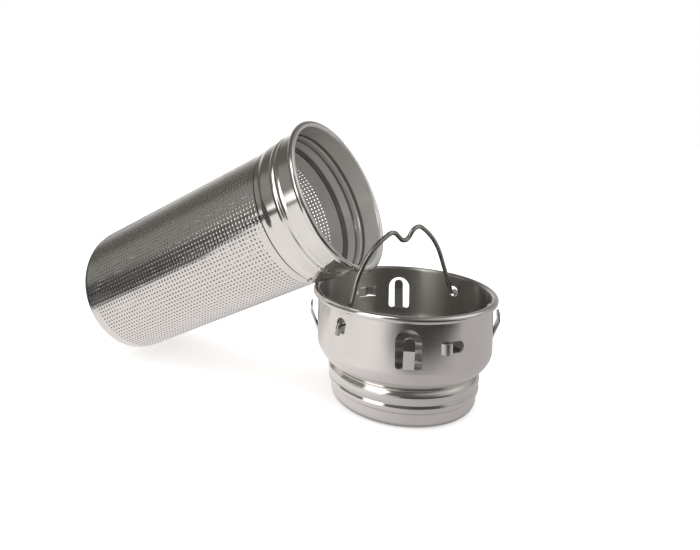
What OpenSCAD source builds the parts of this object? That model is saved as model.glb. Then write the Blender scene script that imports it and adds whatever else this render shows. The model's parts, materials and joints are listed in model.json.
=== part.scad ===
// Two-piece stainless tea strainer, taken apart: a long perforated basket leaning on a
// short cup that carries a wire bail. Pushed together, the cup's beaded neck seats in
// the basket's collar. Millimetres; both pieces stand on z = 0, the cup's axis upright.

/* [Cup] */

// Outside diameter of the cup's rolled rim
cup_rim_d = 56; // [55.4:0.1:56.6]
// Height of the cup from the floor to the top of its rim
cup_h = 32.7; // [32.3:0.1:34]
// Outside diameter of the cup's straight wall
cup_wall_d = 53; // [52.6:0.1:53.4]
// Sheet thickness of the cup
cup_t = 0.5; // [0.4:0.05:0.6]
// Outside diameter of the bead that seats in the basket's socket
neck_bead_d = 45.8; // [45.4:0.05:45.8]

/* [Bail] */

// Wire diameter of the bail
wire_d = 1.4; // [1:0.1:1.4]
// Diameter of the two holes the wire passes through
wire_hole_d = 3.6; // [3:0.1:4]

/* [Spring tongues and lugs] */

// Width of each spring tongue
tongue_w = 3; // [2.4:0.1:3.2]
// How far the tongues stand out from the wall
tongue_out = 2.4; // [1.5:0.1:2.8]
// Width of the arched slot round each tongue
slot_w = 7.1; // [6.4:0.1:7.6]
// How far the two lanced lugs bulge out of the wall
lug_rise = 1.3; // [0.8:0.1:1.6]

/* [Basket] */

// Length of the basket from its closed end to its mouth
basket_len = 97.8; // [90:0.1:105]
// Outside diameter of the perforated tube
tube_d = 44.6; // [44.2:0.1:44.6]
// Sheet thickness of the tube, the end cap and the collar
basket_t = 0.35; // [0.3:0.05:0.4]
// Inside diameter of the socket in the collar
socket_d = 45.9; // [45.9:0.05:46.2]
// Outside radius of the rounded corner at the closed end
end_corner = 4; // [2:0.5:6]

/* [Filter disc] */

// Diameter of the perforated disc in the bottom of the cup
disc_d = 39.4; // [38:0.1:39.6]

/* [Hidden] */

$fn = 96;

// the row's origin is under the middle of the whole arrangement; the cup's axis stands here
cup_at = [42.035, -7.02, 0];

// gap left between pieces that only touch, and how far a cutting shape runs past its cut
skin = 0.02;
past = 1;

// numbers of steps in a smooth step, a shoulder or corner, and a rolled edge
blend_steps = 5;
corner_steps = 12;
curl_steps = 24;
wire_fn = 24;

// colours of the two finishes
satin = [0.78, 0.78, 0.77];
polished = [0.70, 0.71, 0.72];

// cup profile: heights of the neck's features, and radii of its inside face;
// the foot is flat from the lip out to foot_flat_r
wall_in = cup_wall_d / 2 - cup_t;
curl_r = cup_rim_d / 4 - wall_in / 2;
curl_end = -115;
curl_z = cup_h - curl_r;
curl_mid_r = wall_in + curl_r;
neck_in = 21.44;
neck_corner = 2.1;
lip_in = 17.9;
foot_flat_r = 19.5;
bead_in = neck_bead_d / 2 - cup_t;
bead_z = [8.1, 8.9];
ridge_in = 22.25;
ridge_z = [5.3, 5.7];
valley_in = 21.95;
valley_z = 6.8;
neck_top_z = 4.1;
groove_in = 21.64;
groove_z = 10.6;
shoulder_z = [10.8, 17.2];

// openings in the cup wall: turned from the front, so that 0 faces -Y
tongue_turn = 3.5;
slot_z = [18.2, 29.0];
kink_z = 24.2;
tongue_top_z = 27.5;
tongue_return = 0.2;
root_gap = 0.08;
window_lap = 0.1;
cut_depth = 6;

// two lugs, each a strip of the wall cut free on three sides and pressed out near its root;
// the first ends short and leaves the rest of its slot open, the second still covers it
lug_turn = [29.7, 209.7];
lug_length = [3.2, 7.0];
lug_z = 23.9;
lug_slot = [7.4, 3.3];
lug_h = 2.9;
lug_bulge = 4.4;
lug_bite = 0.35;
lug_steps = 16;

// the bail: hinge line through both holes, and the bends of the wire in its own plane
hinge_turn = -40;
hinge_z = 26.9;
bail_lean = 7.7;
bail_bends = [
  [-27.5, -2.8], [-27.5, 0], [-24.5, 0], [-21.0, 18.98], [-9.1, 25.22], [-2.67, 20.33],
  [1.22, 26.53], [12.15, 20.3], [24.7, 0], [27.5, 0], [27.5, -2.8]];
bail_radii = [0, 0.9, 1.2, 19, 3.5, 2.8, 3.7, 30, 1.2, 0.9, 0];
run_lap = 0.1;
bend_d = wire_d + 0.03;

// collar profile, measured up from the closed end along the basket's axis: where it
// starts, and the heights above that of its skirt, cone, band and two ribs
collar_z = basket_len - 16.2;
collar_step = [0, 1.2, 3.2, 6.2, 7.1, 8.0, 8.9, 9.8];
skirt_in = tube_d / 2 + skin;
band_in = socket_d / 2 - 0.2;
socket_in = socket_d / 2;
mouth_curl_r = 1.05;
rib_in = socket_in + 0.1;
rib_valley_in = socket_in - 0.12;
tube_top = basket_len - 14.6;

// where the basket leans: its mouth stands over the cup, its closed end is on the floor
// (offsets from the cup's axis)
basket_turn = -17.74;
mouth_x = -19.35;
mouth_y = -4.26;
tube_r = tube_d / 2;

// tilts searched for the one at which the tube just rests on the rim, and the part of
// the rim, seen from the cup's axis, that it can touch
tilt_range = [10, 50];
tilt_halvings = 40;
touch_arc = [150, 210];

function unit(v) = v / norm(v);

// right-hand normal of a path at point i
function side(p, i) =
  let (a = p[max(i - 1, 0)], b = p[min(i + 1, len(p) - 1)], t = unit(b - a)) [t.y, -t.x];

// closed outline of a sheet of thickness t lying on the right of a path
function sheet(p, t) =
  concat(p, [for (i = [len(p) - 1 : -1 : 0]) p[i] + t * side(p, i)]);

// points of an arc, ends included
function arc(c, r, a0, a1, n) =
  [for (i = [0 : n]) let (a = a0 + (a1 - a0) * i / n) c + r * [cos(a), sin(a)]];

// smooth step from one radius and height to the next, without its first point
function blend(p0, p1, n = blend_steps) =
  [for (i = [1 : n]) let (u = i / n)
    [p0.x + (p1.x - p0.x) * (1 - cos(180 * u)) / 2, p0.y + (p1.y - p0.y) * u]];

// a chain of smooth steps through a list of points, first point included
function blends(p) =
  concat([p[0]], [for (i = [1 : len(p) - 1]) each blend(p[i - 1], p[i])]);

// quarter-ellipse shoulder from the neck out to the wall
function shoulder(n = corner_steps) =
  [for (i = [0 : n]) let (u = i / n)
    [groove_in + (wall_in - groove_in) * sin(90 * u),
     shoulder_z[0] + (shoulder_z[1] - shoulder_z[0]) * u]];

cup_path = concat(
  [[lip_in, cup_t], [foot_flat_r, cup_t]],
  arc([neck_in - neck_corner + cup_t, neck_corner], neck_corner - cup_t, -90, 0, corner_steps),
  blends([
    [neck_in, neck_top_z], [ridge_in, ridge_z[0]], [ridge_in, ridge_z[1]],
    [valley_in, valley_z], [bead_in, bead_z[0]], [bead_in, bead_z[1]],
    [groove_in, groove_z]]),
  shoulder(),
  arc([curl_mid_r, curl_z], curl_r, 180, curl_end, curl_steps));

collar_path = concat(
  blends([
    [skirt_in, collar_z + collar_step[0]], [skirt_in, collar_z + collar_step[1]],
    [band_in, collar_z + collar_step[2]], [band_in, collar_z + collar_step[3]],
    [rib_in, collar_z + collar_step[4]], [rib_valley_in, collar_z + collar_step[5]],
    [rib_in, collar_z + collar_step[6]], [socket_in, collar_z + collar_step[7]]]),
  arc([socket_in + mouth_curl_r, basket_len - mouth_curl_r], mouth_curl_r, 180, curl_end, curl_steps));

// the basket's axis, and the height of its closed end when its edge is on the floor
function axis_at(t) = [cos(t) * cos(basket_turn), cos(t) * sin(basket_turn), sin(t)];
function end_height(t) =
  skin + end_corner + (tube_r - end_corner) * cos(t) - end_corner * sin(t);
function mouth_at(t) = [mouth_x, mouth_y, end_height(t) + basket_len * sin(t)];

// clearance between the tube and the cup's rolled rim at tilt t
function rim_clear(t) =
  let (d = axis_at(t), m = mouth_at(t))
  min([for (a = [touch_arc[0] : 1 : touch_arc[1]])
    let (w = [curl_mid_r * cos(a), curl_mid_r * sin(a), curl_z] - m) norm(w - (w * d) * d)])
  - curl_r - tube_r;

// tilt at which the tube just rests on the rim
function lean_tilt(low, high, n) =
  let (mid = (low + high) / 2)
  n == 0 ? mid
  : rim_clear(mid) > skin ? lean_tilt(low, mid, n - 1) : lean_tilt(mid, high, n - 1);

basket_tilt = lean_tilt(tilt_range[0], tilt_range[1], tilt_halvings);
basket_end = mouth_at(basket_tilt) - basket_len * axis_at(basket_tilt);

// moves a node drawn about the cup's axis into the row's frame
module in_frame() {
  translate(cup_at) children();
}

// turns a feature drawn on the front of the cup, in the XZ plane, round to an angle
module at_front(turn) {
  rotate([0, 0, turn]) children();
}

// extrudes a drawing in the XZ plane through the front of the cup wall
module through_wall() {
  translate([0, -cup_wall_d / 2 + cut_depth / 2, 0])
    rotate([90, 0, 0])
      linear_extrude(cut_depth) children();
}

// solid arch with a half-round top, standing on height z0
module arch(w, z0, z1) {
  translate([-w / 2, z0]) square([w, z1 - w / 2 - z0]);
  translate([0, z1 - w / 2]) circle(d = w);
}

// inverted-U slot: two legs with round feet joined by an arch
module tongue_slot() {
  leg = (slot_w - tongue_w) / 2;
  difference() {
    arch(slot_w, slot_z[0] + leg / 2, slot_z[1]);
    translate([0, -past]) arch(tongue_w, slot_z[0], slot_z[1] - leg + past);
  }
  for (x = [-1, 1])
    translate([x * (slot_w - leg) / 2, slot_z[0] + leg / 2]) circle(d = leg);
}

// opening left in the wall for a tongue and its slot together
module tongue_window() {
  tongue_slot();
  arch(tongue_w + 2 * window_lap, slot_z[0] + root_gap, slot_z[1] - past);
}

// slot left round a lug: square at the lug's root, round at its free end
module lug_slot_shape() {
  round_x = lug_slot.x / 2 - lug_slot.y / 2;
  translate([-lug_slot.x / 2, lug_z - lug_slot.y / 2])
    square([lug_slot.x - lug_slot.y / 2, lug_slot.y]);
  translate([round_x, lug_z]) circle(d = lug_slot.y);
}

// plan of a lug along the front of the wall: one smooth bulge, then flush with the wall
function lug_at(x) =
  let (along = x + lug_slot.x / 2, u = min(max(along / lug_bulge, 0), 1),
    r = wall_in + skin + lug_rise * (1 - cos(360 * u)) / 2)
  r * unit([x, -sqrt(wall_in * wall_in - x * x)]);
lug_start = -lug_slot.x / 2 - lug_bite;

module lug(length) {
  path = [for (i = [0 : lug_steps]) lug_at(lug_start + (lug_bite + length) * i / lug_steps)];
  translate([0, 0, lug_z - lug_h / 2])
    linear_extrude(lug_h) polygon(sheet(path, cup_t - 2 * skin));
}

module cup_shell() {
  color(satin) in_frame() {
    difference() {
      rotate_extrude() polygon(sheet(cup_path, cup_t));
      for (i = [0 : 3])
        at_front(tongue_turn + 90 * i) through_wall() tongue_window();
      for (turn = lug_turn)
        at_front(turn) through_wall() lug_slot_shape();
      for (half = [0, 180])
        at_front(hinge_turn + half) through_wall()
          translate([0, hinge_z]) circle(d = wire_hole_d);
    }
    for (i = [0, 1])
      at_front(lug_turn[i]) lug(lug_length[i]);
  }
}

module cup_filter_disc() {
  color(satin) in_frame() translate([0, 0, cup_t]) cylinder(d = disc_d, h = cup_t);
}

// side view of a tongue: sloping out from its root, then upright to its free end
module tongue_section() {
  face = cup_wall_d / 2;
  tip = face + tongue_out;
  end = tip - tongue_return;
  foot = slot_z[0] + 2 * root_gap;
  polygon([
    [face - cup_t, foot], [face, foot], [tip, kink_z], [end, tongue_top_z],
    [end - cup_t, tongue_top_z], [tip - cup_t, kink_z]]);
}

module spring_tongue(index) {
  color(satin) in_frame() at_front(tongue_turn + 90 * index)
    intersection() {
      rotate([0, 0, -90]) rotate([90, 0, 0])
        linear_extrude(tongue_w, center = true) tongue_section();
      through_wall() arch(tongue_w - skin, slot_z[0], tongue_top_z);
    }
}

module tongue_front() { spring_tongue(0); }
module tongue_right() { spring_tongue(1); }
module tongue_back() { spring_tongue(2); }
module tongue_left() { spring_tongue(3); }

function turn_of(v) = atan2(v.y, v.x);
function bend_of(p, i) =
  let (a = turn_of(p[i + 1] - p[i]) - turn_of(p[i] - p[i - 1]))
  a > 180 ? a - 360 : a < -180 ? a + 360 : a;
function tangent_of(p, r, i) =
  i == 0 || i == len(p) - 1 ? 0 : r[i] * tan(abs(bend_of(p, i)) / 2);

// straight length of round wire in the XY plane, running a little way into its bends
module wire_run(a, b) {
  start = a - run_lap * unit(b - a);
  translate([start.x, start.y, 0]) rotate([0, 90, turn_of(b - a)])
    cylinder(d = wire_d, h = norm(b - a) + 2 * run_lap, $fn = wire_fn);
}

// bend of round wire in the XY plane, at vertex i of the path
module wire_bend(p, r, i) {
  bend = bend_of(p, i);
  way = bend > 0 ? 1 : -1;
  d0 = unit(p[i] - p[i - 1]);
  from = p[i] - d0 * tangent_of(p, r, i);
  centre = from + way * r[i] * [-d0.y, d0.x];
  start = turn_of(from - centre);
  translate([centre.x, centre.y, 0])
    rotate([0, 0, way > 0 ? start : start + bend])
      rotate_extrude(angle = abs(bend)) translate([r[i], 0]) circle(d = bend_d, $fn = wire_fn);
}

// round wire along a path of straight runs joined by bends
module bent_wire(p, r) {
  for (i = [0 : len(p) - 2]) {
    d = unit(p[i + 1] - p[i]);
    wire_run(p[i] + d * tangent_of(p, r, i), p[i + 1] - d * tangent_of(p, r, i + 1));
  }
  for (i = [1 : len(p) - 2]) wire_bend(p, r, i);
}

module bail_handle() {
  color(polished) in_frame()
    translate([0, 0, hinge_z])
      rotate([0, 0, 90 + hinge_turn])
        rotate([90 + bail_lean, 0, 0])
          bent_wire(bail_bends, bail_radii);
}

module place_basket() {
  in_frame() translate(basket_end) rotate([0, 90 - basket_tilt, basket_turn]) children();
}

module basket_collar() {
  color(polished) place_basket()
    rotate_extrude() polygon(sheet(collar_path, basket_t));
}

module basket_tube() {
  color(polished) place_basket()
    rotate_extrude()
      translate([tube_r - basket_t, end_corner]) square([basket_t, tube_top - end_corner]);
}

module basket_base() {
  mid = [tube_r - end_corner, end_corner];
  outer = arc(mid, end_corner, 0, -90, corner_steps);
  inner = arc(mid, end_corner - basket_t, -90, 0, corner_steps);
  color(polished) place_basket()
    rotate_extrude() polygon(concat([[0, 0], [0, basket_t]], inner, outer));
}

cup_shell();
cup_filter_disc();
bail_handle();
tongue_front();
tongue_right();
tongue_back();
tongue_left();
basket_collar();
basket_tube();
basket_base();
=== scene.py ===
import json
import math

import bpy
import numpy as np
from mathutils import Matrix, Vector
from mathutils.geometry import delaunay_2d_cdt


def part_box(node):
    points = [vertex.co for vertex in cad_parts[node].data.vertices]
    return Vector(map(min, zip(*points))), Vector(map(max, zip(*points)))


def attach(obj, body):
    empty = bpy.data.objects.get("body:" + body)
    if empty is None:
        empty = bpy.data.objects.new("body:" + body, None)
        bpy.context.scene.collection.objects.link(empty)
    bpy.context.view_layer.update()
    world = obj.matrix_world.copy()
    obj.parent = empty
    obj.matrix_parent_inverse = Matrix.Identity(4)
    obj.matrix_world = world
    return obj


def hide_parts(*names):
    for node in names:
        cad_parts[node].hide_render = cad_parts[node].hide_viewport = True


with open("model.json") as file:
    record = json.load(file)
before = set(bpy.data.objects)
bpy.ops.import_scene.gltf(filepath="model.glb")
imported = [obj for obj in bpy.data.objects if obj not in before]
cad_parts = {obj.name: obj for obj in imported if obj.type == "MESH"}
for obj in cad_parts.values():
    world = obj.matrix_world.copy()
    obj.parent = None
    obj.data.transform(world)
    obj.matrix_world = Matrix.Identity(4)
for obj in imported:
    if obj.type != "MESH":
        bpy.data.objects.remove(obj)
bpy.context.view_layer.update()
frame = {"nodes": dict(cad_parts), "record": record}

MM = 0.001
TURN = 2 * math.pi

# ---------------------------------------------------------------- places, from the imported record

mounts = {m["name"]: m for m in frame["record"]["mounts"]}
cup_axis = Vector(mounts["neck"]["pos_m"]) * Vector((1, 1, 0))
basket_axis = Vector(mounts["socket"]["axis"]).normalized()
SOCKET_DEPTH = 3.7 * MM
BASKET_LENGTH = 97.8 * MM
basket_end = Vector(mounts["socket"]["pos_m"]) + (SOCKET_DEPTH - BASKET_LENGTH) * basket_axis


def basket_matrix():
    """Frame of the basket: origin at its closed end, Z up its axis to the mouth, X level."""
    level = basket_axis.cross(Vector((0, 0, 1))).normalized()
    across = basket_axis.cross(level)
    turned = Matrix((level, across, basket_axis)).transposed()
    return Matrix.Translation(basket_end) @ turned.to_4x4()


BASKET = basket_matrix()
CUP = Matrix.Translation(cup_axis)

# ---------------------------------------------------------------- perforated sheet metal

PITCH = 1.3 * MM
HOLE_R = 0.35 * MM
HOLE_SIDES = 6
TUBE_R = 22.3 * MM
SHEET = 0.35 * MM
TUBE_ROWS = 108
TUBE_COLUMNS = 56
FIRST_ROW = math.radians(2.6)
FIRST_COLUMN_Z = 6.5 * MM
CORNER_R = 4 * MM
TUBE_TOP_Z = 83.2 * MM
SKIRT_EDGE_Z = 81.6 * MM
CORNER_STEPS = 10
END_HOLES_R = 17.4 * MM
DISC_HOLES_R = 18.6 * MM
DISC_SIDES = 96
NEAR = 1e-9
DOWN = (0, 0, -1)
UP = (0, 0, 1)


def mesh_object(name, points, faces, normals, matrix):
    """Mesh from points, faces and one normal per face corner, moved into the row frame."""
    turn = np.array(matrix.to_3x3())
    points = np.array([tuple(p) for p in points]) @ turn.T + np.array(matrix.translation)
    normals = np.array([tuple(n) for n in normals]) @ turn.T
    mesh = bpy.data.meshes.new(name)
    mesh.from_pydata(points.tolist(), [], faces)
    mesh.polygons.foreach_set("use_smooth", [True] * len(mesh.polygons))
    mesh.normals_split_custom_set(normals.tolist())
    mesh.update()
    thing = bpy.data.objects.new(name, mesh)
    bpy.context.scene.collection.objects.link(thing)
    return thing


def wall_normals(points, faces):
    """Flat normal of each face, repeated for its corners."""
    out = []
    for face in faces:
        a, b, c = (Vector(points[i]) for i in face[:3])
        flat = (b - a).cross(c - a).normalized()
        out.extend([flat] * len(face))
    return out


def on_tube(angle, z, radius):
    """Points at the given angles and heights on a cylinder."""
    return np.stack([radius * np.cos(angle), radius * np.sin(angle), z], axis=-1)


# a cell is a square with a hexagonal hole: corners 0..3 anticlockwise from lower left,
# hole points 4..9 anticlockwise from the right
CELL_FACES = [
    (1, 2, 4), (2, 5, 4), (2, 3, 6, 5), (3, 7, 6),
    (3, 0, 7), (0, 8, 7), (0, 1, 9, 8), (1, 4, 9)]


def tube_cells(radius, offset, outward):
    """Points and faces of the perforated band on one side of the sheet."""
    step = TURN / TUBE_ROWS
    rows, columns = np.meshgrid(np.arange(TUBE_ROWS), np.arange(TUBE_COLUMNS + 1), indexing="ij")
    edge_angle = FIRST_ROW + (rows - 0.5) * step
    edge_z = FIRST_COLUMN_Z + (columns - 0.5) * PITCH
    corners = on_tube(edge_angle, edge_z, radius).reshape(-1, 3)
    sides = np.arange(HOLE_SIDES) * TURN / HOLE_SIDES
    angle = FIRST_ROW + rows[:, :-1, None] * step + HOLE_R * np.cos(sides) / TUBE_R
    z = FIRST_COLUMN_Z + columns[:, :-1, None] * PITCH + HOLE_R * np.sin(sides)
    holes = on_tube(angle, z, radius).reshape(-1, 3)
    faces = []
    hole_loops = []
    for row in range(TUBE_ROWS):
        low = row * (TUBE_COLUMNS + 1)
        high = (row + 1) % TUBE_ROWS * (TUBE_COLUMNS + 1)
        for column in range(TUBE_COLUMNS):
            first = len(corners) + (row * TUBE_COLUMNS + column) * HOLE_SIDES
            cell = [low + column, high + column, high + column + 1, low + column + 1]
            cell += [first + k for k in range(HOLE_SIDES)]
            cell = [offset + i for i in cell]
            hole_loops.append(cell[4:])
            for face in CELL_FACES:
                loop = [cell[i] for i in face]
                faces.append(loop if outward else loop[::-1])
    return np.concatenate([corners, holes]), faces, hole_loops


def radial_normals(points, faces, sign):
    """Normals pointing away from the axis, or towards it when sign is -1."""
    flat = points * [1, 1, 0]
    flat = sign * flat / np.linalg.norm(flat, axis=1)[:, None]
    return [flat[i] for face in faces for i in face]


def ring_faces(first, second, outward):
    """Quads between two closed loops of the same length."""
    count = len(first)
    loops = [
        [first[i], first[(i + 1) % count], second[(i + 1) % count], second[i]]
        for i in range(count)]
    return loops if outward else [loop[::-1] for loop in loops]


def tube():
    """Perforated tube, from the end cap to where it is hidden in the collar."""
    inner_r = TUBE_R - SHEET
    outer, outer_faces, outer_holes = tube_cells(TUBE_R, 0, True)
    inner, inner_faces, inner_holes = tube_cells(inner_r, len(outer), False)
    points = np.concatenate([outer, inner])
    edge = TUBE_COLUMNS + 1
    bottom = [row * edge for row in range(TUBE_ROWS)]
    top = [row * edge + TUBE_COLUMNS for row in range(TUBE_ROWS)]
    angle = FIRST_ROW + (np.arange(TUBE_ROWS) - 0.5) * TURN / TUBE_ROWS
    ends = []
    for radius in (TUBE_R, inner_r):
        for z in (CORNER_R, TUBE_TOP_Z):
            ends.append([len(points) + i for i in range(TUBE_ROWS)])
            points = np.concatenate([points, on_tube(angle, np.full(TUBE_ROWS, z), radius)])
    outer_faces += ring_faces(ends[0], bottom, True) + ring_faces(top, ends[1], True)
    shift = len(outer)
    inner_faces += ring_faces(ends[2], [shift + i for i in bottom], False)
    inner_faces += ring_faces([shift + i for i in top], ends[3], False)
    walls = []
    for out_loop, in_loop in zip(outer_holes, inner_holes):
        walls += ring_faces(in_loop, out_loop, False)
    walls += ring_faces(ends[0], ends[2], False) + ring_faces(ends[1], ends[3], True)
    normals = radial_normals(points, outer_faces, 1)
    normals += radial_normals(points, inner_faces, -1)
    normals += wall_normals(points, walls)
    return mesh_object("perforated_tube", points, outer_faces + inner_faces + walls, normals, BASKET)


def lattice(limit):
    """Centres of a square lattice of holes inside a circle."""
    reach = int(limit / PITCH)
    span = [i * PITCH for i in range(-reach, reach + 1)]
    return [(x, y) for x in span for y in span if math.hypot(x, y) <= limit]


def perforated_disc(rim, limit):
    """Flat disc with a lattice of holes: 2-D points, triangles, hole loops and rim loop."""
    points = [Vector(p) for p in rim]
    rim_loop = list(range(len(points)))
    edges = [(i, (i + 1) % len(rim)) for i in rim_loop]
    holes = []
    for x, y in lattice(limit):
        loop = []
        for k in range(HOLE_SIDES):
            turn = k * TURN / HOLE_SIDES
            loop.append(len(points))
            points.append(Vector((x + HOLE_R * math.cos(turn), y + HOLE_R * math.sin(turn))))
        edges += [(loop[k], loop[(k + 1) % HOLE_SIDES]) for k in range(HOLE_SIDES)]
        holes.append(loop)
    made = delaunay_2d_cdt(points, edges, [], 0, NEAR)
    owner = {}
    for number, loop in enumerate(holes):
        for i in loop:
            owner[i] = number
    kept = [tuple(f) for f in made[2] if len({owner.get(i, -1 - i) for i in f}) > 1]
    return [tuple(p) for p in made[0]], kept, holes, rim_loop


def disc_sides(points, faces, low, high):
    """The same flat pattern twice, facing down at one height and up at another."""
    below = [(x, y, low) for x, y in points]
    above = [(x, y, high) for x, y in points]
    count = len(points)
    down = [face[::-1] for face in faces]
    up = [tuple(count + i for i in face) for face in faces]
    return below + above, down, up


def counted(faces, normal):
    """The same normal for every corner of the faces."""
    return [normal for face in faces for _ in face]


def hole_walls(holes, count):
    """Walls of the holes between a flat pattern and its copy, count points further on."""
    walls = []
    for loop in holes:
        walls += ring_faces([count + i for i in loop], loop, True)
    return walls


def corner_normals(angle, tilt, new_tilt, outward):
    """Face-corner normals of one band of quads round the rounded corner."""
    sign = 1 if outward else -1
    out = []
    for i, near in enumerate(angle):
        far = angle[(i + 1) % len(angle)]
        quad = [(near, tilt), (far, tilt), (far, new_tilt), (near, new_tilt)]
        for a, t in quad if outward else quad[::-1]:
            side = sign * math.sin(t)
            out.append((side * math.cos(a), side * math.sin(a), -sign * math.cos(t)))
    return out


def corner_side(angle, radius, loop, first, outward):
    """One side of the rounded corner: points, faces, normals and its last ring."""
    points = []
    faces = []
    normals = []
    tilt = 0.0
    for step in range(1, CORNER_STEPS + 1):
        new_tilt = step * TURN / 4 / CORNER_STEPS
        ring_r = TUBE_R - CORNER_R + radius * math.sin(new_tilt)
        z = CORNER_R - radius * math.cos(new_tilt)
        ring = [first + len(points) + i for i in range(TUBE_ROWS)]
        points += [(ring_r * math.cos(a), ring_r * math.sin(a), z) for a in angle]
        faces += ring_faces(loop, ring, outward)
        normals += corner_normals(angle, tilt, new_tilt, outward)
        loop = ring
        tilt = new_tilt
    return points, faces, normals, loop


def end_cap():
    """Closed end of the basket: perforated flat with a plain rounded corner."""
    angle = [FIRST_ROW + (i - 0.5) * TURN / TUBE_ROWS for i in range(TUBE_ROWS)]
    flat_r = TUBE_R - CORNER_R
    rim = [(flat_r * math.cos(a), flat_r * math.sin(a)) for a in angle]
    flat, flat_faces, holes, rim_loop = perforated_disc(rim, END_HOLES_R)
    points, down, up = disc_sides(flat, flat_faces, 0, SHEET)
    count = len(flat)
    made = corner_side(angle, CORNER_R, rim_loop, len(points), True)
    outer, outer_faces, outer_normals, outer_ring = made
    inner_rim = [count + i for i in rim_loop]
    made = corner_side(angle, CORNER_R - SHEET, inner_rim, len(points) + len(outer), False)
    inner, inner_faces, inner_normals, inner_ring = made
    points += outer + inner
    walls = hole_walls(holes, count) + ring_faces(outer_ring, inner_ring, True)
    normals = counted(down, DOWN) + counted(up, UP) + outer_normals + inner_normals
    normals += wall_normals(points, walls)
    faces = down + up + outer_faces + inner_faces + walls
    return mesh_object("perforated_end_cap", points, faces, normals, BASKET)


def filter_disc():
    """Perforated disc lying in the bottom of the cup."""
    low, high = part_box("cup_filter_disc")
    radius = (high.x - low.x) / 2
    angle = [i * TURN / DISC_SIDES for i in range(DISC_SIDES)]
    rim = [(radius * math.cos(a), radius * math.sin(a)) for a in angle]
    flat, flat_faces, holes, rim_loop = perforated_disc(rim, DISC_HOLES_R)
    points, down, up = disc_sides(flat, flat_faces, low.z, high.z)
    count = len(flat)
    walls = ring_faces(rim_loop, [count + i for i in rim_loop], True) + hole_walls(holes, count)
    normals = counted(down, DOWN) + counted(up, UP) + wall_normals(points, walls)
    return mesh_object("perforated_filter_disc", points, down + up + walls, normals, CUP)


# ---------------------------------------------------------------- shader nodes


class Graph:
    """Adds nodes to one node tree. A value may be a number, a vector or a node's output."""

    def __init__(self, tree):
        tree.nodes.clear()
        self.tree = tree

    def add(self, kind, inputs, output=0, **settings):
        made = self.tree.nodes.new(kind)
        for name, value in settings.items():
            setattr(made, name, value)
        for key, value in inputs.items():
            if isinstance(value, bpy.types.NodeSocket):
                self.tree.links.new(value, made.inputs[key])
            else:
                made.inputs[key].default_value = value
        return made.outputs[output] if made.outputs else made

    def math(self, operation, a, b=0.0):
        return self.add("ShaderNodeMath", {0: a, 1: b}, operation=operation)

    def vector(self, operation, a, b=(0, 0, 0), output=0):
        return self.add("ShaderNodeVectorMath", {0: a, 1: b}, output, operation=operation)

    def smooth(self, value, low, high, to_low=0.0, to_high=1.0):
        """Smooth step of a value from low to high."""
        inputs = {"Value": value, "From Min": low, "From Max": high, "To Min": to_low, "To Max": to_high}
        return self.add("ShaderNodeMapRange", inputs, interpolation_type="SMOOTHSTEP")

    def mix(self, factor, a, b):
        """Blend of two colours."""
        return self.add("ShaderNodeMix", {0: factor, 6: a, 7: b}, 2, data_type="RGBA")

    def noise(self, vector, scale, detail=2.0):
        return self.add("ShaderNodeTexNoise", {"Vector": vector, "Scale": scale, "Detail": detail})

    def split(self, vector):
        made = self.tree.nodes.new("ShaderNodeSeparateXYZ")
        self.tree.links.new(vector, made.inputs[0])
        return made.outputs[0], made.outputs[1], made.outputs[2]

    def join(self, x, y, z):
        return self.add("ShaderNodeCombineXYZ", {0: x, 1: y, 2: z})


def colour(red, green, blue):
    return (red, green, blue, 1.0)


def axis_coordinates(graph, place):
    """Object coordinates moved into the frame whose Z is the piece's axis of turning."""
    coordinates = graph.add("ShaderNodeTexCoord", {}, "Object")
    back = place.inverted()
    inputs = {"Vector": coordinates, "Location": back.translation, "Rotation": back.to_euler()}
    return graph.add("ShaderNodeMapping", inputs)


LINE_SCALE = 4200.0
LINE_DEPTH = 0.0008 * MM
SMUDGE_SCALE = 95.0
SWELL_SCALE = 60.0
DENT_SCALE = 170.0
DENT_DEPTH = 0.02 * MM
INNER_STRETCH = 0.5
INNER_GREY = colour(0.30, 0.30, 0.27)
CREASE_FADE = 0.3 * MM
CREASE_SHADE = 0.8
# painted shade colour for the rings on the collar's inside
PAINTED_CREASE_COLOUR = colour(0.07, 0.065, 0.055)
# painted shadow colour for the tube where it goes in under the collar's skirt
SKIRT_PAINTED_SHADOW = colour(0.05, 0.045, 0.04)


def turned_lines(graph, local):
    """Fine lines round the axis, as rolling and turning leave; also radius and height."""
    x, y, z = graph.split(local)
    flat = graph.join(x, y, 0.0)
    radius = graph.vector("LENGTH", flat, output="Value")
    shrink = graph.math("DIVIDE", 1.0, graph.math("MAXIMUM", radius, 0.1 * MM))
    ring = graph.add("ShaderNodeVectorMath", {0: flat, "Scale": shrink}, operation="SCALE")
    ring_x, ring_y, _ = graph.split(ring)
    height = graph.math("MULTIPLY", graph.math("ADD", z, radius), LINE_SCALE)
    return graph.noise(graph.join(ring_x, ring_y, height), 1.0, 3.0), radius, z


def bump_over(graph, height, depth, normal=None):
    """Bump of one depth laid over an earlier one."""
    inputs = {"Strength": 1.0, "Distance": depth, "Height": height}
    if normal is not None:
        inputs["Normal"] = normal
    return graph.add("ShaderNodeBump", inputs)


def crease(graph, height, low, high):
    """1 between two heights along the axis, fading to 0 on both sides."""
    rise = graph.smooth(height, low - CREASE_FADE, low + CREASE_FADE)
    fall = graph.smooth(height, high + CREASE_FADE, high - CREASE_FADE)
    return graph.math("MULTIPLY", rise, fall)


def skirt_shadow(graph, radius, height):
    """1 on the tube's outside where it goes in under the collar's skirt, where a shadow is painted."""
    near = graph.smooth(height, SKIRT_EDGE_Z - 0.9 * MM, SKIRT_EDGE_Z - 0.4 * MM)
    outside = graph.smooth(radius, TUBE_R - 0.25 * MM, TUBE_R - 0.1 * MM)
    return graph.math("MULTIPLY", near, outside)


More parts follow.
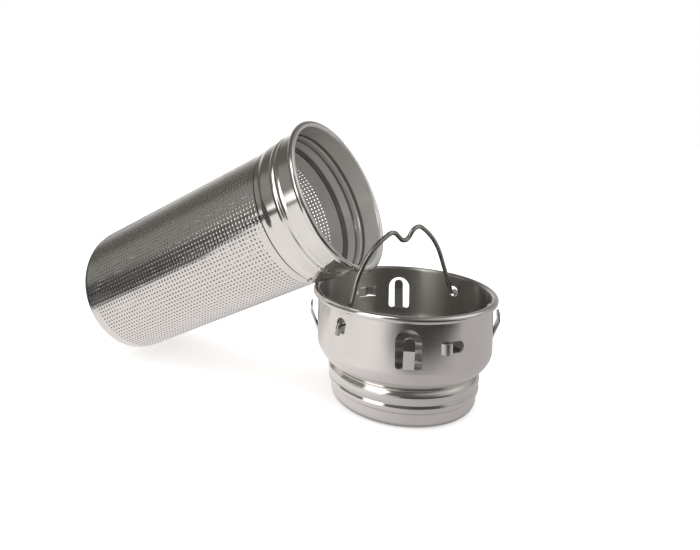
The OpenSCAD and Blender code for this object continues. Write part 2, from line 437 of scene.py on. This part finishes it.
def steel(name, place, base, rough, waviness, anisotropy=0.0, holes=False,
          inner_rough=0.0, inner_darkening=0.0, inner_haze=0.0, painted_shade_rings=()):
    """Stainless sheet: turning lines, faint waviness, smudges, a rougher inner side mixed towards a
    darker grey, painted shade rings on the inside, and a painted shadow where the tube goes under the
    skirt.
    """
    material = bpy.data.materials.new(name)
    material.use_nodes = True
    graph = Graph(material.node_tree)
    local = axis_coordinates(graph, place)
    streak, radius, height = turned_lines(graph, local)
    tone = graph.smooth(streak, 0.3, 0.7)
    worn = graph.smooth(graph.noise(local, SMUDGE_SCALE, 4.0), 0.42, 0.7)
    dull = colour(base[0] * 0.9, base[1] * 0.895, base[2] * 0.88)
    shade = graph.mix(graph.math("MULTIPLY", tone, 0.3), colour(*base), dull)
    shade = graph.mix(graph.math("MULTIPLY", worn, 0.35), shade, dull)
    roughness = graph.math("ADD", rough, graph.math("MULTIPLY", tone, 0.03))
    roughness = graph.math("ADD", roughness, graph.math("MULTIPLY", worn, 0.05))
    stretch = anisotropy
    metal = 1.0
    if inner_rough:
        inner = inner_side(graph, place)
        stretch = graph.math("ADD", anisotropy, graph.math("MULTIPLY", inner, INNER_STRETCH))
        roughness = graph.math("ADD", roughness, graph.math("MULTIPLY", inner, inner_rough))
        metal = graph.math("SUBTRACT", 1.0, graph.math("MULTIPLY", inner, inner_haze))
        # the inner side's colour is mixed towards a darker grey
        shade = graph.mix(graph.math("MULTIPLY", inner, inner_darkening), shade, INNER_GREY)
        shaded = graph.math("MULTIPLY", inner, CREASE_SHADE)
        # painted shade: dark rings on the inner side between the given heights
        for low, high in painted_shade_rings:
            ring = graph.math("MULTIPLY", crease(graph, height, low, high), shaded)
            shade = graph.mix(ring, shade, PAINTED_CREASE_COLOUR)
    bump = bump_over(graph, graph.noise(local, SWELL_SCALE, 1.0), waviness)
    bump = bump_over(graph, streak, LINE_DEPTH, bump)
    if holes:
        bump = bump_over(graph, graph.noise(local, DENT_SCALE, 2.0), DENT_DEPTH, bump)
        bump = bump_over(graph, hole_edges(graph, local), EDGE_DEPTH, bump)
        # painted shadow: the tube's colour is darkened just before the collar's skirt
        shade = graph.mix(skirt_shadow(graph, radius, height), shade, SKIRT_PAINTED_SHADOW)
    inputs = {
        "Base Color": shade, "Metallic": metal, "Roughness": roughness, "Normal": bump,
        "Anisotropic": stretch}
    if anisotropy:
        inputs["Tangent"] = axial_tangent(graph, place)
    surface = graph.add("ShaderNodeBsdfPrincipled", inputs)
    graph.add("ShaderNodeOutputMaterial", {"Surface": surface})
    return material


def outward_arm(graph, place):
    """Object-space directions round the piece's axis and away from it."""
    coordinates = graph.add("ShaderNodeTexCoord", {}, "Object")
    axis = place.to_3x3() @ Vector((0, 0, 1))
    arm = graph.vector("SUBTRACT", coordinates, place.translation)
    around = graph.vector("CROSS_PRODUCT", axis, arm)
    outward = graph.vector("NORMALIZE", graph.vector("CROSS_PRODUCT", around, axis))
    return around, outward


def inner_side(graph, place):
    """1 on faces turned towards the axis, 0 on faces turned away from it."""
    _, outward = outward_arm(graph, place)
    normal = graph.add("ShaderNodeTexCoord", {}, "Normal")
    facing = graph.vector("DOT_PRODUCT", normal, outward, "Value")
    return graph.smooth(facing, 0.1, -0.3)


def axial_tangent(graph, place):
    """Direction along the surface towards the mouth, across the turning lines."""
    around, _ = outward_arm(graph, place)
    around = graph.add(
        "ShaderNodeVectorTransform", {"Vector": around},
        vector_type="VECTOR", convert_from="OBJECT", convert_to="WORLD")
    normal = graph.add("ShaderNodeNewGeometry", {}, "Normal")
    return graph.vector("NORMALIZE", graph.vector("CROSS_PRODUCT", normal, around))


EDGE_START = 0.85 * HOLE_R / PITCH
EDGE_END = 1.45 * HOLE_R / PITCH
EDGE_DEPTH = 0.022 * MM


def hole_edges(graph, local):
    """Height of the sheet's edge, which the punch leaves rolled over round each hole."""
    x, y, z = graph.split(local)
    angle = graph.math("SUBTRACT", graph.math("ARCTAN2", y, x), FIRST_ROW)
    row = graph.math("MULTIPLY", angle, TUBE_ROWS / TURN)
    column = graph.math("DIVIDE", graph.math("SUBTRACT", z, FIRST_COLUMN_Z), PITCH)
    side = graph.math("SUBTRACT", row, graph.math("ROUND", row))
    along = graph.math("SUBTRACT", column, graph.math("ROUND", column))
    offset = graph.vector("LENGTH", graph.join(side, along, 0.0), output="Value")
    return graph.smooth(offset, EDGE_START, EDGE_END)


WIRE_LIGHT = colour(0.44, 0.43, 0.41)
WIRE_DARK = colour(0.36, 0.35, 0.33)
WIRE_GRAIN_SCALE = 1500.0
WIRE_GRAIN_DEPTH = 0.0012 * MM
WIRE_SMUDGE_SCALE = 160.0


def wire_steel(name):
    """Drawn wire: darker, with fine grain and a duller, handled surface."""
    material = bpy.data.materials.new(name)
    material.use_nodes = True
    graph = Graph(material.node_tree)
    coordinates = graph.add("ShaderNodeTexCoord", {}, "Object")
    grain = graph.noise(coordinates, WIRE_GRAIN_SCALE, 2.0)
    smudge = graph.noise(coordinates, WIRE_SMUDGE_SCALE, 3.0)
    shade = graph.mix(graph.smooth(smudge, 0.35, 0.7), WIRE_LIGHT, WIRE_DARK)
    roughness = graph.smooth(grain, 0.3, 0.7, 0.2, 0.28)
    bump = bump_over(graph, grain, WIRE_GRAIN_DEPTH)
    inputs = {"Base Color": shade, "Metallic": 1.0, "Roughness": roughness, "Normal": bump}
    surface = graph.add("ShaderNodeBsdfPrincipled", inputs)
    graph.add("ShaderNodeOutputMaterial", {"Surface": surface})
    return material


def dress(thing, material):
    """Give an object one material."""
    thing.data.materials.clear()
    thing.data.materials.append(material)


# ---------------------------------------------------------------- the strainer

LIGHT_STEEL = (0.80, 0.78, 0.765)
COLLAR_LIGHT = (0.82, 0.805, 0.78)
CAP_LIGHT = (0.79, 0.77, 0.755)
DISC_LIGHT = (0.62, 0.60, 0.58)
# heights of the collar's cone and of the two sides of its ribs, above the closed end; shade is painted
# in rings between them on the collar's inside
CONE = (82.4 * MM, 84.9 * MM)
LOWER_RIB = (87.7 * MM, 88.5 * MM)
UPPER_RIB = (90.3 * MM, 91.5 * MM)

cup_steel = steel(
    "cup_steel", CUP, LIGHT_STEEL, 0.12, 0.035 * MM, anisotropy=0.4,
    inner_rough=0.16, inner_darkening=0.35)
collar_steel = steel(
    "collar_steel", BASKET, COLLAR_LIGHT, 0.1, 0.007 * MM, anisotropy=0.3,
    inner_rough=0.08, inner_haze=0.42, painted_shade_rings=(CONE, LOWER_RIB, UPPER_RIB))
tube_steel = steel(
    "perforated_steel", BASKET, LIGHT_STEEL, 0.06, 0.03 * MM, holes=True,
    inner_rough=0.3, inner_haze=0.35)
cap_steel = steel("perforated_cap_steel", BASKET, CAP_LIGHT, 0.12, 0.02 * MM)
disc_steel = steel("perforated_disc_steel", CUP, DISC_LIGHT, 0.22, 0.02 * MM)
bail_steel = wire_steel("bail_wire_steel")

nodes = frame["nodes"]
dress(nodes["cup_shell"], cup_steel)
dress(nodes["basket_collar"], collar_steel)
dress(nodes["bail_handle"], bail_steel)
for side in ("front", "right", "back", "left"):
    dress(nodes["tongue_" + side], cup_steel)

perforated = tube()
dress(perforated, tube_steel)
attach(perforated, "basket")
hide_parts("basket_tube")

cap = end_cap()
dress(cap, cap_steel)
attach(cap, "basket")
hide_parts("basket_base")

disc = filter_disc()
dress(disc, disc_steel)
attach(disc, "cup")
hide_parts("cup_filter_disc")

# ---------------------------------------------------------------- floor, light and camera

FLOOR_HALF = 3.0
FLOOR_GLOW = 0.4
WHITE = colour(1, 1, 1)
# the floor as the steel mirrors it: edges of the white sheet, left of the cup's axis
SHEET_LEFT = 140 * MM
SHEET_CORNER = 67 * MM
SHEET_FADE = 9 * MM
SHEET_LIGHT = colour(0.90, 0.87, 0.855)
SHEET_GREY = colour(0.50, 0.48, 0.475)
SHEET_SHADED = colour(0.36, 0.345, 0.33)
SHEET_FRONT = colour(0.05, 0.045, 0.042)
# painted shadow colour under the cup, in the floor as the steel mirrors it
UNDER_FOOT_PAINTED_SHADOW = colour(0.08, 0.075, 0.07)
BENCH_DARK = colour(0.03, 0.031, 0.031)
BENCH_LIGHT = colour(0.15, 0.149, 0.143)
BENCH_SCALE = 32.0


def sheet_area(graph, away_x, away_y):
    """1 on the white sheet, 0 on the bench to the left of it."""
    left_edge = graph.math("ADD", away_x, SHEET_LEFT)
    corner_edge = graph.math("ADD", graph.math("SUBTRACT", away_x, away_y), SHEET_CORNER)
    inside = graph.math("MAXIMUM", left_edge, corner_edge)
    return graph.smooth(inside, -SHEET_FADE, SHEET_FADE)


def sheet_colour(graph, away_x, away_y):
    """The white sheet: greyer to the right, shaded behind on the left and dark in front."""
    right = graph.smooth(away_x, -45 * MM, 15 * MM)
    sheet = graph.mix(right, SHEET_LIGHT, SHEET_GREY)
    behind = graph.smooth(away_y, 5 * MM, 50 * MM)
    left = graph.smooth(away_x, -10 * MM, -50 * MM)
    shaded = graph.math("MULTIPLY", graph.math("MULTIPLY", behind, left), 0.6)
    sheet = graph.mix(shaded, sheet, SHEET_SHADED)
    slant = graph.math("SUBTRACT", away_y, graph.math("MULTIPLY", away_x, 0.25))
    front = graph.smooth(slant, -60 * MM, -92 * MM)
    dark = graph.math("MULTIPLY", front, graph.smooth(away_x, -60 * MM, 15 * MM))
    return graph.mix(dark, sheet, SHEET_FRONT)


def mirrored_floor(graph):
    """Glowing colour of the floor as the steel mirrors it, a painted reflection: a white sheet on a
    dark, cluttered bench, with a painted shadow under the cup.
    """
    place = graph.add("ShaderNodeNewGeometry", {}, "Position")
    offset = graph.vector("SUBTRACT", place, cup_axis)
    away_x, away_y, _ = graph.split(offset)
    clutter = graph.smooth(graph.noise(place, BENCH_SCALE, 3.0), 0.42, 0.62)
    bench = graph.mix(clutter, BENCH_DARK, BENCH_LIGHT)
    sheet = sheet_colour(graph, away_x, away_y)
    seen = graph.mix(sheet_area(graph, away_x, away_y), bench, sheet)
    from_cup = graph.vector("LENGTH", offset, output="Value")
    # painted shadow: the mirrored floor darkens close under the cup's foot
    return graph.mix(graph.smooth(from_cup, 24 * MM, 19 * MM), seen, UNDER_FOOT_PAINTED_SHADOW)


def floor_material():
    """Plain and pale to the camera; to every other ray it glows with the painted sheet and bench."""
    material = bpy.data.materials.new("floor_white")
    material.use_nodes = True
    graph = Graph(material.node_tree)
    reflected = graph.add("ShaderNodeEmission", {"Color": mirrored_floor(graph), "Strength": 1.0})
    diffuse = graph.add("ShaderNodeBsdfDiffuse", {"Color": colour(0.9, 0.9, 0.9)})
    glow = graph.add("ShaderNodeEmission", {"Color": WHITE, "Strength": FLOOR_GLOW})
    plain = graph.add("ShaderNodeAddShader", {0: diffuse, 1: glow})
    camera_ray = graph.add("ShaderNodeLightPath", {}, "Is Camera Ray")
    surface = graph.add("ShaderNodeMixShader", {0: camera_ray, 1: reflected, 2: plain})
    graph.add("ShaderNodeOutputMaterial", {"Surface": surface})
    return material


def studio_floor():
    """Large square floor at z = 0."""
    mesh = bpy.data.meshes.new("floor")
    half = FLOOR_HALF
    corners = [(-half, -half, 0), (half, -half, 0), (half, half, 0), (-half, half, 0)]
    mesh.from_pydata(corners, [], [(0, 1, 2, 3)])
    thing = bpy.data.objects.new("floor", mesh)
    bpy.context.scene.collection.objects.link(thing)
    thing.data.materials.append(floor_material())


def soft_patch(graph, direction, azimuth, elevation, inner, outer):
    """Round soft-edged patch of the surroundings; 0 degrees faces the camera's side."""
    turn = math.radians(azimuth)
    rise = math.radians(elevation)
    flat = math.cos(rise)
    centre = (math.sin(turn) * flat, -math.cos(turn) * flat, math.sin(rise))
    ahead = graph.vector("DOT_PRODUCT", direction, centre, "Value")
    return graph.smooth(ahead, math.cos(math.radians(outer)), math.cos(math.radians(inner)))


ROOM_LOW = colour(0.085, 0.08, 0.07)
ROOM_MIDDLE = colour(0.12, 0.115, 0.102)
ROOM_TOP = colour(0.13, 0.128, 0.12)
BACKDROP = colour(0.98, 0.97, 0.95)
# azimuth, elevation, inner and outer radius in degrees, and colour of each patch
PATCHES = (
    (-80, 18, 10, 26, colour(0.26, 0.255, 0.24)),
    (85, 32, 18, 60, colour(0.50, 0.49, 0.47)),
    (97, 42, 10, 24, colour(0.95, 0.94, 0.91)),
    (35, 6, 16, 34, colour(0.06, 0.055, 0.05)))
SOFTBOX = Vector((-0.557, -0.64, 0.529))
SOFTBOX_COLOUR = colour(2.0, 1.97, 1.9)


def room_colour(graph, direction):
    """Dim warm room with a few soft patches and a pale backdrop behind."""
    x, y, z = graph.split(direction)
    low = graph.mix(graph.smooth(z, 0.02, 0.22), ROOM_LOW, ROOM_MIDDLE)
    room = graph.mix(graph.smooth(z, 0.5, 0.95), low, ROOM_TOP)
    for azimuth, elevation, inner, outer, tint in PATCHES:
        patch = soft_patch(graph, direction, azimuth, elevation, inner, outer)
        room = graph.mix(patch, room, tint)
    lower = graph.smooth(z, 0.1, 0.55, 1.0, 0.28)
    backdrop = graph.math("MULTIPLY", graph.smooth(y, 0.45, 1.0), lower)
    backdrop = graph.math("MULTIPLY", backdrop, graph.smooth(x, 0.3, -0.4, 0.4, 1.0))
    return graph.mix(backdrop, room, BACKDROP)


def softbox_area(graph, direction):
    """1 inside the softbox, a soft-edged rectangle up and to the left of the camera."""
    right = SOFTBOX.cross(Vector((0, 0, 1))).normalized()
    up = right.cross(SOFTBOX)
    wide = graph.math("ABSOLUTE", graph.vector("DOT_PRODUCT", direction, right, "Value"))
    tall = graph.math("ABSOLUTE", graph.vector("DOT_PRODUCT", direction, up, "Value"))
    ahead = graph.vector("DOT_PRODUCT", direction, SOFTBOX, "Value")
    inside = graph.math("MULTIPLY", graph.smooth(wide, 0.30, 0.20), graph.smooth(tall, 0.60, 0.46))
    return graph.math("MULTIPLY", inside, graph.smooth(ahead, 0.1, 0.3))


def studio_world():
    """White all round. Mirrored in the steel it is a dim room, a backdrop and one softbox."""
    world = bpy.data.worlds.new("studio")
    bpy.context.scene.world = world
    world.use_nodes = True
    graph = Graph(world.node_tree)
    direction = graph.add("ShaderNodeTexCoord", {}, "Generated")
    room = room_colour(graph, direction)
    lit = graph.mix(softbox_area(graph, direction), room, SOFTBOX_COLOUR)
    glossy_ray = graph.add("ShaderNodeLightPath", {}, "Is Glossy Ray")
    shown = graph.mix(glossy_ray, WHITE, lit)
    surface = graph.add("ShaderNodeBackground", {"Color": shown, "Strength": 1.0})
    graph.add("ShaderNodeOutputWorld", {"Surface": surface})


LIGHT_HEIGHT = 1.0
LIGHT_SIZE = 1.2
LIGHT_POWER = 4.0


def overhead_light():
    """Large soft light above, not mirrored in the steel. It keeps the shadows faint."""
    light = bpy.data.lights.new("overhead", "AREA")
    light.shape = "SQUARE"
    light.size = LIGHT_SIZE
    light.energy = LIGHT_POWER
    thing = bpy.data.objects.new("overhead", light)
    thing.location = cup_axis + Vector((0, 0, LIGHT_HEIGHT))
    thing.visible_glossy = False
    thing.visible_camera = False
    bpy.context.scene.collection.objects.link(thing)


# the camera: where it stands from the cup's axis, how it is turned, and its lens
CAMERA_PLACE = Vector((0, -0.17544, 0.08196))
CAMERA_HEADING = math.radians(10.45)
CAMERA_PITCH = math.radians(90 - 0.642)
CAMERA_ROLL = math.radians(0.957)
LENS = 28.63
SENSOR = 36
CLIP_START = 0.01
LENS_SHIFT_X = 0.0660
LENS_SHIFT_Y = -0.2020
SHIFT_BAND = 20 * MM


def shift_here(camera, name, amount):
    """Lens shift that holds at the camera's present height and fades out away from it."""
    curve = camera.data.driver_add(name)
    for modifier in list(curve.modifiers):
        curve.modifiers.remove(modifier)
    curve.driver.type = "SUM"
    variable = curve.driver.variables.new()
    variable.type = "TRANSFORMS"
    variable.targets[0].id = camera
    variable.targets[0].transform_type = "LOC_Z"
    variable.targets[0].transform_space = "WORLD_SPACE"
    here = camera.location.z
    steps = ((here - SHIFT_BAND, 0.0), (here, amount), (here + SHIFT_BAND, 0.0))
    curve.keyframe_points.add(len(steps))
    for point, step in zip(curve.keyframe_points, steps):
        point.co = step
        point.interpolation = "LINEAR"
    curve.update()


def photo_camera():
    """Close, wide view a little above the cup's rim, with the lens shifted sideways and down."""
    data = bpy.data.cameras.new("camera")
    data.sensor_width = SENSOR
    data.lens = LENS
    data.clip_start = CLIP_START
    thing = bpy.data.objects.new("camera", data)
    turn = Matrix.Rotation(CAMERA_HEADING, 4, "Z")
    turn = turn @ Matrix.Rotation(CAMERA_PITCH, 4, "X")
    turn = turn @ Matrix.Rotation(CAMERA_ROLL, 4, "Z")
    thing.matrix_world = Matrix.Translation(cup_axis + CAMERA_PLACE) @ turn
    bpy.context.scene.collection.objects.link(thing)
    bpy.context.scene.camera = thing
    shift_here(thing, "shift_x", LENS_SHIFT_X)
    shift_here(thing, "shift_y", LENS_SHIFT_Y)


studio_floor()
studio_world()
overhead_light()
photo_camera()
bpy.context.scene.view_settings.view_transform = "Standard"
